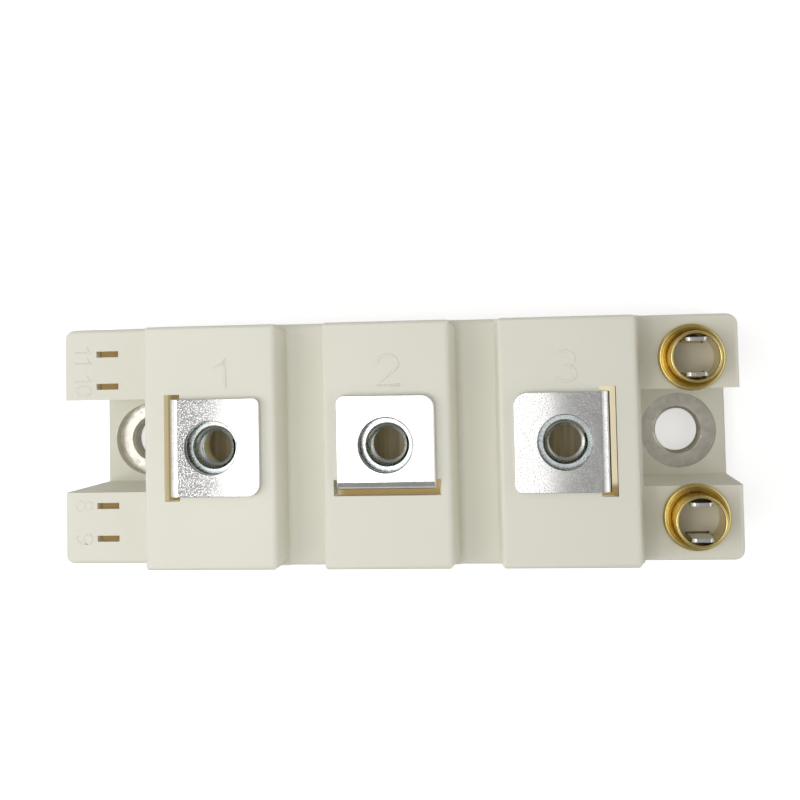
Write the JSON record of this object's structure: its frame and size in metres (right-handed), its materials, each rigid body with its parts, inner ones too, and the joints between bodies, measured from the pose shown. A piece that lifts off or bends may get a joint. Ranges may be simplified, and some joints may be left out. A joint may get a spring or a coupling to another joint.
{
  "type": "half-bridge igbt power module",
  "caption": "Flat moulded power semiconductor module on a nickel-plated base plate, with screw terminals in a row on top and control contacts at one end.",
  "frame": {"origin": "centre of the base plate's underside, which is the face that bolts to the heat sink", "axes": "+X along the row of terminals towards the end with the control contacts, +Y across the module towards the back row of contacts, +Z away from the heat sink"},
  "size_m": [0.094, 0.034, 0.03],
  "materials": {
    "case_plastic": "fine moulded, satin, cream white",
    "nickel_plate": "nickel-plated copper, satin",
    "tinned_sheet": "bright plated copper sheet with a fine grain",
    "zinc_nut": "bluish zinc plate",
    "brass_eyelet": "polished",
    "bare_copper": "plain copper",
    "solder": "dull",
    "ceramic": "white alumina",
    "silicon": "metallised chip",
    "bond_aluminium": "drawn wire",
    "silicone": "soft clear gel",
    "adhesive": "cured silicone adhesive"
  },
  "bodies": {
    "root": {"base_plate": "nickel_plate", "sealing_adhesive": "adhesive", "housing": "case_plastic", "left_solder_layer": "solder", "right_solder_layer": "solder", "left_lower_copper": "bare_copper", "right_lower_copper": "bare_copper", "left_ceramic": "ceramic", "right_ceramic": "ceramic", "left_tracks": "bare_copper", "right_tracks": "bare_copper", "chip_solder": "solder", "igbt_chips": "silicon", "diode_chips": "silicon", "bond_wires": "bond_aluminium", "phase_link": "bare_copper", "terminal_1": "tinned_sheet", "terminal_2": "tinned_sheet", "terminal_3": "tinned_sheet", "nut_1": "zinc_nut", "nut_2": "zinc_nut", "nut_3": "zinc_nut", "control_contact_4": "tinned_sheet", "control_contact_5": "tinned_sheet", "control_contact_6": "tinned_sheet", "control_contact_7": "tinned_sheet", "back_shorting_eyelet": "brass_eyelet", "front_shorting_eyelet": "brass_eyelet", "silicone_gel": "silicone"}
  },
  "joints": []
}
